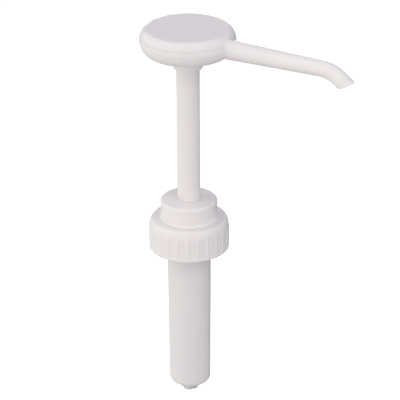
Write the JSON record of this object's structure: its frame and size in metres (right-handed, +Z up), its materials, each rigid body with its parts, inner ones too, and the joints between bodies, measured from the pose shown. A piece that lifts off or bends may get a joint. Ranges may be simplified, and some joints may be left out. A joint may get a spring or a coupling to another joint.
{
  "type": "condiment pump dispenser",
  "caption": "Push-top condiment pump for a jug: round press head with a long bent spout on a slim stem, ribbed screw closure, and a pump cylinder that hangs in the jug.",
  "frame": {"origin": "centre of the neck gasket's lower face, the plane where the pump sits on the jug's neck", "axes": "+Z up the pump's axis towards the press head, +X along the spout"},
  "size_m": [0.1235, 0.0516, 0.2207],
  "materials": {
    "moulded_white": "satin moulded polypropylene, opaque warm white",
    "cylinder_white": "satin moulded polypropylene, opaque greyer white",
    "natural_plastic": "natural unpigmented polypropylene, milky and slightly translucent",
    "foot_plastic": "natural polyethylene, greyer and matt",
    "foam_gasket": "closed cell polyethylene foam, white",
    "acetal": "moulded acetal, ivory white, low sheen",
    "seal_rubber": "food grade silicone, translucent grey white",
    "spring_steel": "drawn stainless spring wire",
    "ball_steel": "ground and polished stainless ball"
  },
  "bodies": {
    "housing": {"cylinder": "cylinder_white", "collar": "natural_plastic", "stem_guide": "acetal", "stem_wiper": "seal_rubber", "neck_gasket": "foam_gasket", "inlet_nozzle": "foot_plastic", "inlet_ball_cage": "acetal", "return_spring": "spring_steel"},
    "closure": {"closure": "natural_plastic"},
    "piston": {"piston_carrier": "acetal", "piston_seal": "seal_rubber", "outlet_seat": "acetal"},
    "plunger": {"head_cover": "moulded_white", "head_base": "moulded_white", "spout": "moulded_white", "spout_seal": "seal_rubber", "stem": "moulded_white", "outlet_ball_stop": "acetal"},
    "inlet_ball": {"inlet_ball": "ball_steel"},
    "outlet_ball": {"outlet_ball": "ball_steel"}
  },
  "joints": [
    {"name": "closure_spin", "type": "hinge", "parent": "housing", "child": "closure", "pos_m": [0, 0, 0], "axis": [0, 0, 1], "continuous": true},
    {"name": "plunger_slide", "type": "slide", "parent": "housing", "child": "piston", "axis": [0, 0, 1], "range_m": [-0.068, 0], "stiffness_N_per_m": 500, "springref_m": 0.04, "deforming": ["return_spring"]},
    {"name": "head_swivel", "type": "hinge", "parent": "piston", "child": "plunger", "pos_m": [0, 0, 0], "axis": [0, 0, 1], "continuous": true},
    {"name": "inlet_ball_lift", "type": "slide", "parent": "housing", "child": "inlet_ball", "axis": [0, 0, 1], "range_m": [0, 0.002]},
    {"name": "outlet_ball_lift", "type": "slide", "parent": "piston", "child": "outlet_ball", "axis": [0, 0, 1], "range_m": [0, 0.002]}
  ]
}
